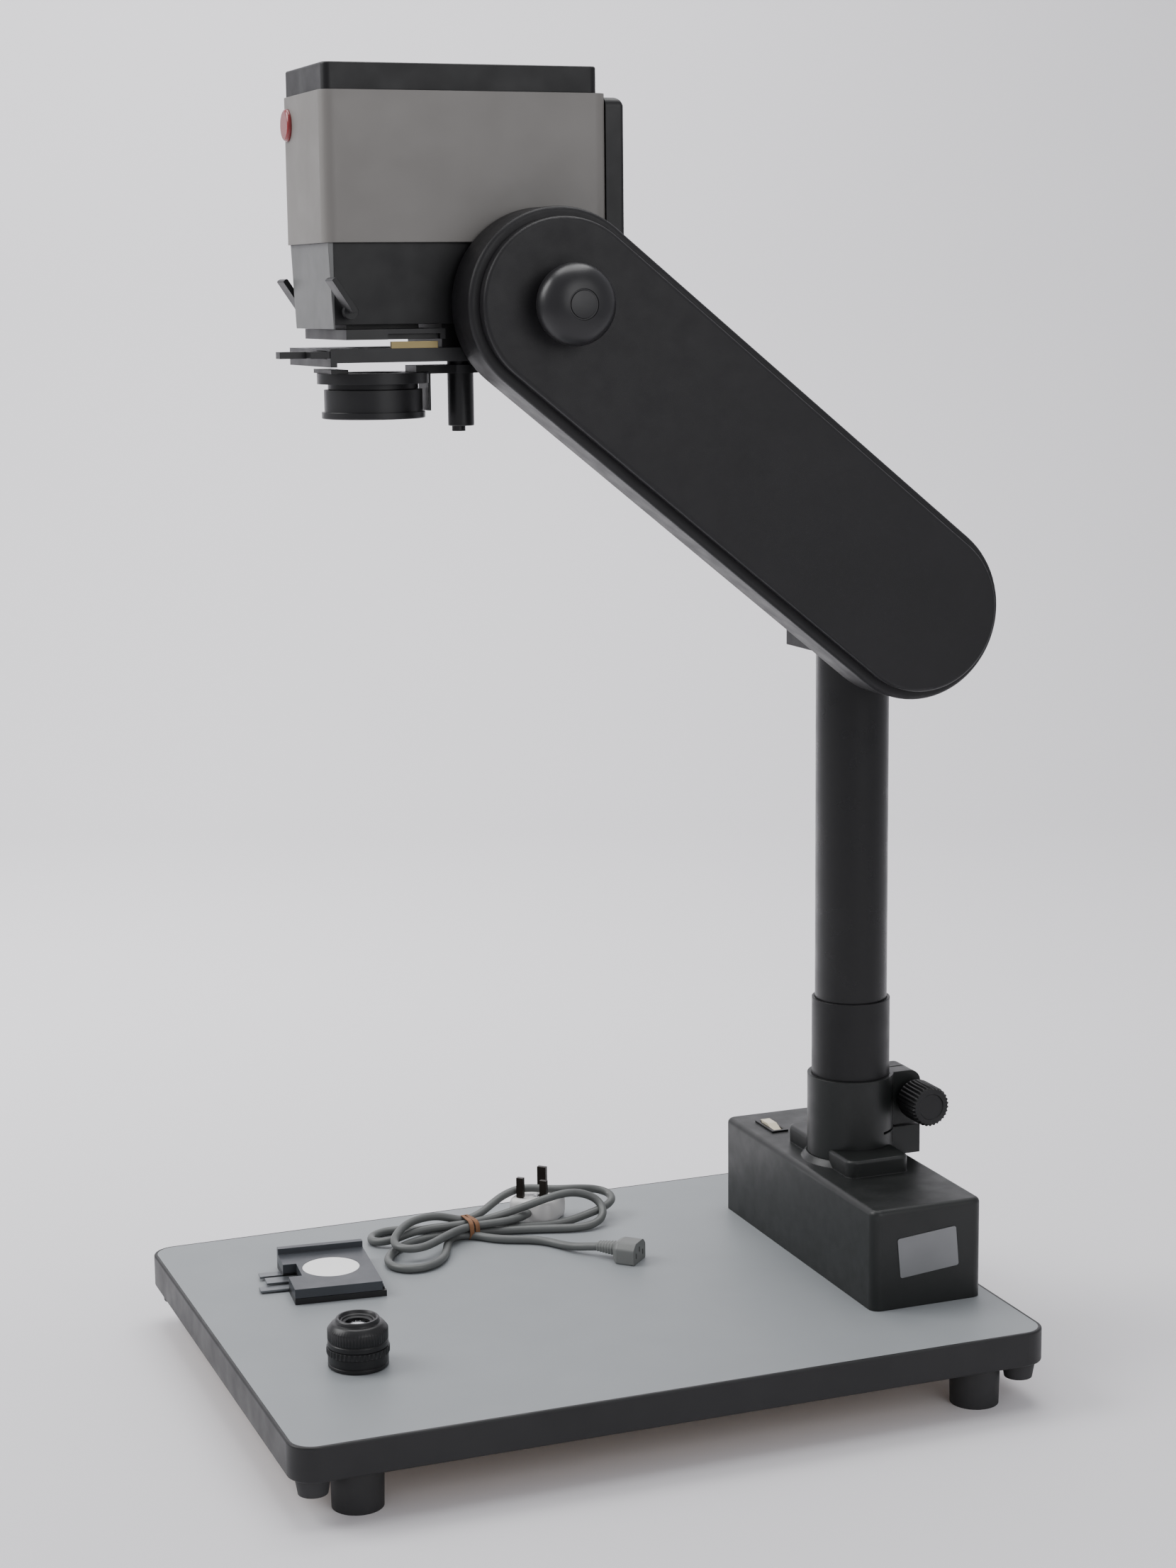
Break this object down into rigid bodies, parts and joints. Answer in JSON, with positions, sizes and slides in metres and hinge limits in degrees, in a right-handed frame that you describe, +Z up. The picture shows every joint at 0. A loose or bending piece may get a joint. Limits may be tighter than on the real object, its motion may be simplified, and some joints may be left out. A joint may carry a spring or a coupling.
{
  "type": "photographic enlarger",
  "caption": "Tabletop photographic enlarger: board, foot housing, round column, one-sided level-keeping arm, lamp head, negative stage and lens carriage, with a loose lens, carrier and lead.",
  "frame": {"origin": "bottom centre of the bounding box, on the plane of the feet's soles", "axes": "+Z up; -X towards the operator, +X towards the column and foot housing; -Y the side the arm is on"},
  "size_m": [0.628, 0.464, 1.0284],
  "materials": {
    "board_core": "raw edge",
    "board_laminate": "fine-grained matte laminate",
    "edge_band": "satin black",
    "black_rubber": "matte",
    "zinc_steel": "zinc plated",
    "foot_paint": "satin textured dark green-black",
    "black_paint": "satin, finely textured",
    "grey_paint": "satin",
    "panel_grey": "satin",
    "column_black": "black, satin",
    "black_casting": "cast, painted satin black",
    "foot_casting": "cast, painted dark green-black",
    "cast_grey": "cast, painted grey",
    "lamination_steel": "stacked sheet",
    "copper_winding": "enamelled wire",
    "black_plastic": "satin",
    "cream_plastic": "semi-gloss",
    "label_silver": "blank printed plate",
    "machined_steel": "machined",
    "bronze": "sintered",
    "grip_plastic": "satin black",
    "red_badge": "glossy domed",
    "glass": "coated",
    "lamp_glass": "clear",
    "ceramic_socket": "ceramic",
    "white_diffuser": "matte white",
    "brass_strip": "rolled",
    "dark_metal": "anodised black",
    "opal": "opal",
    "tab_metal": "satin",
    "grey_cord": "soft vinyl",
    "brown_tie": "soft strap",
    "white_plug": "moulded",
    "pin_brass": "plain"
  },
  "bodies": {
    "base": {"baseboard_core": "board_core", "baseboard_laminate": "board_laminate", "baseboard_edge_band": "edge_band", "main_feet": "black_rubber", "corner_bumpers": "black_rubber", "foot_screws": "zinc_steel", "foot_housing": "foot_paint", "transformer_core": "lamination_steel", "transformer_windings": "copper_winding", "mains_inlet": "black_plastic", "switch_bezel": "black_plastic", "data_label": "label_silver", "clamp_collar": "foot_casting", "lead_connector_end": "grey_cord", "lead_plug_end": "grey_cord", "lead_hank": "grey_cord", "lead_tie": "brown_tie", "iec_connector": "black_plastic", "mains_plug": "white_plug", "plug_pins": "pin_brass"},
    "rocker": {"switch_rocker": "cream_plastic"},
    "clamp": {"clamp_knob": "black_plastic", "clamp_screw": "machined_steel"},
    "sleeve": {"column_sleeve": "black_paint"},
    "column": {"column_tube": "column_black", "column_head": "black_casting", "arm_pivot_shaft": "machined_steel", "focus_cam": "machined_steel", "counterbalance_spring": "machined_steel"},
    "arm": {"arm_body": "black_casting", "arm_cover": "black_casting", "arm_bushes": "bronze"},
    "grip": {"grip_knob": "grip_plastic"},
    "link": {"level_link": "machined_steel"},
    "head": {"head_chassis": "cast_grey", "head_pivot_shaft": "machined_steel", "lamp_casing": "grey_paint", "rear_cover": "black_plastic", "lower_housing": "black_paint", "front_panel": "panel_grey", "badge_disc": "red_badge", "halogen_lamp": "lamp_glass", "lamp_socket": "ceramic_socket", "mixing_box": "white_diffuser", "negative_stage": "dark_metal", "stage_spring_strip": "brass_strip", "guide_post": "dark_metal"},
    "cap": {"casing_cap": "black_paint"},
    "press": {"press_frame": "dark_metal"},
    "lever": {"lift_lever": "black_plastic"},
    "mask": {"mask_slide": "dark_metal"},
    "carriage": {"lens_carriage": "dark_metal"},
    "ring": {"focus_ring": "dark_metal"},
    "loose_lens": {"lens_barrel": "dark_metal", "lens_glass": "glass"},
    "aperture": {"lens_aperture_ring": "dark_metal"},
    "carrier": {"carrier_base": "dark_metal", "carrier_mask_tabs": "tab_metal"},
    "carrier_top": {"carrier_lid": "cast_grey", "carrier_opal": "opal"}
  },
  "joints": [
    {"name": "sleeve_swivel", "type": "hinge", "parent": "base", "child": "sleeve", "pos_m": [0.236, 0, 0.162], "axis": [0, 0, 1], "range_deg": [-90, 90]},
    {"name": "column_slide", "type": "slide", "parent": "sleeve", "child": "column", "axis": [0, 0, 1], "range_m": [0, 0.12]},
    {"name": "arm_swing", "type": "hinge", "parent": "column", "child": "arm", "pos_m": [0.243, -0.08, 0.6155], "axis": [0, 1, 0], "range_deg": [-77, 23]},
    {"name": "link_swing", "type": "hinge", "parent": "column", "child": "link", "pos_m": [0.23593, -0.09, 0.64876], "axis": [0, 1, 0], "range_deg": [-77, 23]},
    {"name": "head_level", "type": "hinge", "parent": "arm", "child": "head", "pos_m": [-0.05232, -0.06, 0.85464], "axis": [0, 1, 0], "range_deg": [-23, 77]},
    {"name": "grip_turn", "type": "hinge", "parent": "arm", "child": "grip", "pos_m": [-0.05232, -0.12, 0.85464], "axis": [0, 1, 0], "range_deg": [-180, 180]},
    {"name": "cap_lift", "type": "slide", "parent": "head", "child": "cap", "axis": [0, 0, 1], "range_m": [0, 0.12]},
    {"name": "lever_press", "type": "hinge", "parent": "head", "child": "lever", "pos_m": [-0.20101, 0, 0.85094], "axis": [0, -1, 0], "range_deg": [0, 22]},
    {"name": "press_lift", "type": "slide", "parent": "head", "child": "press", "axis": [0, 0, 1], "range_m": [0, 0.003]},
    {"name": "mask_pull", "type": "slide", "parent": "head", "child": "mask", "axis": [-1, 0, 0], "range_m": [0, 0.022]},
    {"name": "carriage_slide", "type": "slide", "parent": "head", "child": "carriage", "axis": [0, 0, 1], "range_m": [-0.0078, 0.0024]},
    {"name": "ring_turn", "type": "hinge", "parent": "carriage", "child": "ring", "pos_m": [-0.16692, 0, 0.78454], "axis": [0, 0, 1], "range_deg": [-60, 60]},
    {"name": "clamp_turn", "type": "hinge", "parent": "base", "child": "clamp", "pos_m": [0.285, -0.03, 0.1946], "axis": [0, 1, 0], "range_deg": [-180, 180]},
    {"name": "switch_rock", "type": "hinge", "parent": "base", "child": "rocker", "pos_m": [0.2098, 0.1, 0.1447], "axis": [-1, 0, 0], "range_deg": [0, 18]},
    {"name": "lens_lift", "type": "slide", "parent": "base", "child": "loose_lens", "axis": [0, 0, 1], "range_m": [0, 0.1]},
    {"name": "aperture_turn", "type": "hinge", "parent": "loose_lens", "child": "aperture", "pos_m": [-0.2243, -0.0914, 0.0755], "axis": [0, 0, 1], "range_deg": [-40, 40]},
    {"name": "carrier_lift", "type": "slide", "parent": "base", "child": "carrier", "axis": [0, 0, 1], "range_m": [0, 0.1]},
    {"name": "lid_open", "type": "hinge", "parent": "carrier", "child": "carrier_top", "pos_m": [-0.15839, 0.08959, 0.0672], "axis": [0.1045, 0.9945, 0], "range_deg": [0, 95]}
  ],
  "couplings": [
    {"joint": "head_level", "follows": "arm_swing", "ratio": -1},
    {"joint": "link_swing", "follows": "arm_swing", "ratio": 1},
    {"joint": "carriage_slide", "follows": "arm_swing", "m_per_rad": 0.00573},
    {"joint": "lever_press", "follows": "press_lift", "rad_per_m": 127.9}
  ]
}
